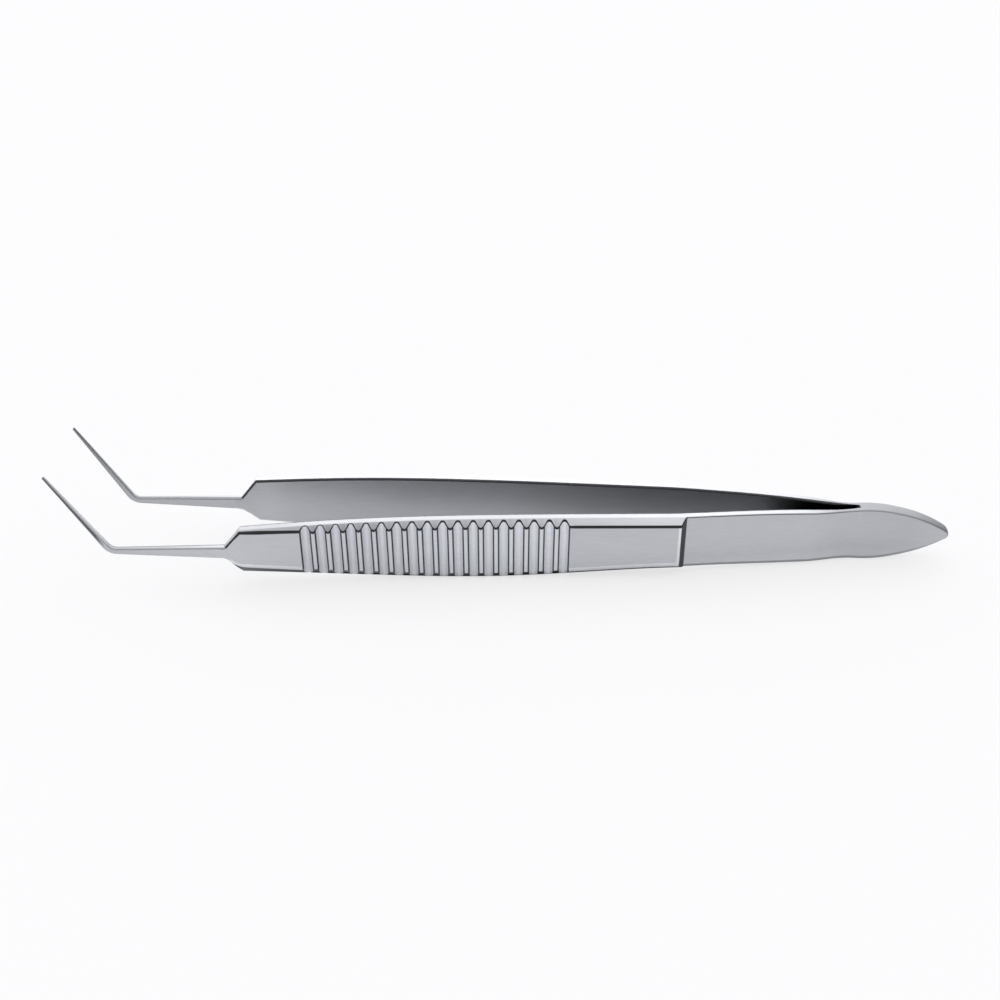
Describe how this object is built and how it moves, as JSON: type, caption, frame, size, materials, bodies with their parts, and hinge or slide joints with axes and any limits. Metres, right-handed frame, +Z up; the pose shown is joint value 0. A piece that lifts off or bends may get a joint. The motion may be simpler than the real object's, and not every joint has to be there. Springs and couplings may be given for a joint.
{
  "type": "foreign body forceps",
  "caption": "Fine spring forceps with angled tips and ribbed grips, squeezed shut to lift small foreign bodies from the eye or skin.",
  "frame": {"origin": "on the surface the forceps lies on, under the middle of its bounding box", "axes": "+X along the length towards the welded heel, +Y across the squeeze towards the far arm, +Z up, the way the tips are angled"},
  "size_m": [0.1098, 0.0136, 0.0147],
  "materials": {
    "satin_steel": "satin-brushed stainless steel with brighter ground edges"
  },
  "bodies": {
    "heel": {"heel": "satin_steel"},
    "near_arm": {"near_arm": "satin_steel"},
    "far_arm": {"far_arm": "satin_steel"}
  },
  "joints": [
    {"name": "near_arm_squeeze", "type": "hinge", "parent": "heel", "child": "near_arm", "pos_m": [0.04348, -0.00034, 0.0037], "axis": [0, 0, -1], "range_deg": [0, 3.47], "stiffness_Nm_per_rad": 2},
    {"name": "far_arm_squeeze", "type": "hinge", "parent": "heel", "child": "far_arm", "pos_m": [0.04348, 0.00034, 0.0037], "axis": [0, 0, 1], "range_deg": [0, 3.47], "stiffness_Nm_per_rad": 2}
  ]
}
